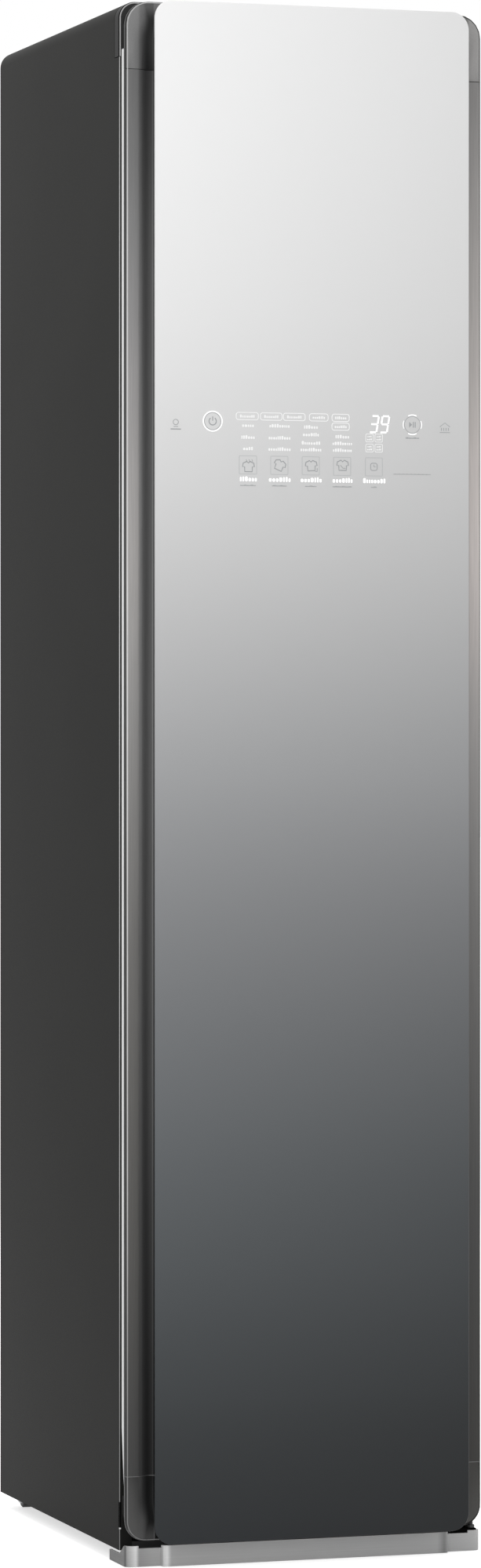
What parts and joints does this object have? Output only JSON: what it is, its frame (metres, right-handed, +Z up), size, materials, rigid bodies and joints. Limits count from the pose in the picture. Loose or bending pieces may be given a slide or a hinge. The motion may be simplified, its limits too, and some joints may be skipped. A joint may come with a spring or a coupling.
{
  "type": "clothes care steam cabinet",
  "caption": "Tall slim cabinet that hangs, shakes and steams clothes behind a full height mirror door.",
  "frame": {"origin": "on the floor under the middle of the cabinet's box", "axes": "+X to the right seen from the front, +Y to the back, +Z up; the door faces -Y"},
  "size_m": [0.445, 0.585, 1.85],
  "materials": {
    "case_steel": "satin dark grey powder coat",
    "trim_dark": "fine satin dark grey plastic",
    "zinc_sheet": "plain zinc coated sheet",
    "dark_sheet": "dark coated sheet",
    "black_plastic": "matt black",
    "silver_trim": "satin silver",
    "liner_white": "fine satin off white",
    "liner_grey": "fine satin light grey",
    "tank_clear": "smoky translucent",
    "tank_grey": "smoky grey translucent",
    "cap_grey": "satin dark grey",
    "polished_steel": "polished",
    "hanger_wood": "varnished beech",
    "lamp_white": "opal",
    "fin_aluminium": "plain",
    "fin_copper": "bronze coated",
    "motor_grey": "satin",
    "compressor_black": "gloss black enamel",
    "boiler_cream": "heat resistant resin",
    "rubber_black": "matt",
    "foam_cream": "expanded foam",
    "duct_white": "foam",
    "mirror_glass": "tinted mirror glass that is pale above and dark below",
    "frame_metal": "brushed dark grey",
    "frame_cap": "metallic dark grey",
    "gasket_grey": "matt",
    "press_fabric": "tight woven cover on a thin pad",
    "circuit_dark": "matt"
  },
  "bodies": {
    "cabinet": {"outer_case": "case_steel", "top_front_trim": "trim_dark", "back_panel": "zinc_sheet", "cord_gland": "black_plastic", "base_pan": "dark_sheet", "roller_axle_left": "polished_steel", "roller_axle_right": "polished_steel", "roller_bracket_left": "zinc_sheet", "roller_bracket_right": "zinc_sheet", "front_skirt": "silver_trim", "front_bezel": "liner_grey", "cabin_liner": "liner_white", "floor_grille": "liner_grey", "outlet_grille": "liner_grey", "steam_nozzle": "cap_grey", "shelf": "liner_grey", "bar_guide_left": "liner_white", "bar_guide_right": "liner_white", "motor_bracket": "zinc_sheet", "shaker_motor": "motor_grey", "lamp_lens": "lamp_white", "tank_bay": "liner_grey", "supply_tank": "tank_clear", "supply_tank_cap": "cap_grey", "drain_tank": "tank_grey", "drain_tank_cap": "cap_grey", "evaporator": "fin_aluminium", "condenser": "fin_copper", "blower_housing": "black_plastic", "blower_motor": "motor_grey", "air_duct": "duct_white", "compressor": "compressor_black", "steam_generator": "boiler_cream", "steam_hose": "rubber_black", "control_box": "liner_white", "hinge_bracket_bottom": "dark_sheet", "hinge_bracket_top": "dark_sheet"},
    "door": {"door_glass": "mirror_glass", "door_stile_left": "frame_metal", "door_stile_right": "frame_metal", "door_cap_top": "frame_cap", "door_cap_bottom": "frame_cap", "door_inner_panel": "liner_white", "door_gasket": "gasket_grey", "display_module": "circuit_dark", "door_insulation": "foam_cream", "press_board": "press_fabric", "press_hinge_pin": "polished_steel"},
    "press": {"press_plate": "liner_grey"},
    "filter": {"lint_filter": "cap_grey"},
    "shaker": {"hanger_bar": "polished_steel"},
    "crank": {"crank_disc": "polished_steel"},
    "hanger_a": {"hanger_1": "hanger_wood"},
    "hanger_b": {"hanger_2": "hanger_wood"},
    "hanger_c": {"hanger_3": "hanger_wood"},
    "fan": {"blower_wheel": "cap_grey"},
    "roller_left": {"rear_roller_left": "black_plastic"},
    "roller_right": {"rear_roller_right": "black_plastic"},
    "foot_left": {"front_foot_left": "rubber_black"},
    "foot_right": {"front_foot_right": "rubber_black"}
  },
  "joints": [
    {"name": "door_hinge", "type": "hinge", "parent": "cabinet", "child": "door", "pos_m": [0.213, -0.252, 0.94], "axis": [0, 0, 1], "range_deg": [0, 105]},
    {"name": "press_hinge", "type": "hinge", "parent": "door", "child": "press", "pos_m": [0.15, -0.2164, 1.1], "axis": [0, 0, -1], "range_deg": [0, 85]},
    {"name": "filter_lift", "type": "slide", "parent": "cabinet", "child": "filter", "axis": [0, 0, 1], "range_m": [0, 0.12]},
    {"name": "bar_shake", "type": "slide", "parent": "cabinet", "child": "shaker", "axis": [1, 0, 0], "range_m": [-0.02, 0.02]},
    {"name": "crank_turn", "type": "hinge", "parent": "cabinet", "child": "crank", "pos_m": [0, -0.02495, 1.783], "axis": [0, 0, 1], "continuous": true},
    {"name": "hanger_swing_1", "type": "hinge", "parent": "shaker", "child": "hanger_a", "pos_m": [-0.08, -0.02495, 1.716], "axis": [1, 0, 0], "range_deg": [-10, 10]},
    {"name": "hanger_swing_2", "type": "hinge", "parent": "shaker", "child": "hanger_b", "pos_m": [0, -0.02495, 1.716], "axis": [1, 0, 0], "range_deg": [-10, 10]},
    {"name": "hanger_swing_3", "type": "hinge", "parent": "shaker", "child": "hanger_c", "pos_m": [0.08, -0.02495, 1.716], "axis": [1, 0, 0], "range_deg": [-10, 10]},
    {"name": "fan_spin", "type": "hinge", "parent": "cabinet", "child": "fan", "pos_m": [-0.095, 0.092, 0.33], "axis": [0, 1, 0], "continuous": true},
    {"name": "roller_spin_left", "type": "hinge", "parent": "cabinet", "child": "roller_left", "pos_m": [-0.196, 0.262, 0.012], "axis": [1, 0, 0], "continuous": true},
    {"name": "foot_turn_left", "type": "hinge", "parent": "cabinet", "child": "foot_left", "pos_m": [-0.188, -0.2, 0.02], "axis": [0, 0, 1], "continuous": true},
    {"name": "roller_spin_right", "type": "hinge", "parent": "cabinet", "child": "roller_right", "pos_m": [0.196, 0.262, 0.012], "axis": [1, 0, 0], "continuous": true},
    {"name": "foot_turn_right", "type": "hinge", "parent": "cabinet", "child": "foot_right", "pos_m": [0.188, -0.2, 0.02], "axis": [0, 0, 1], "continuous": true}
  ]
}
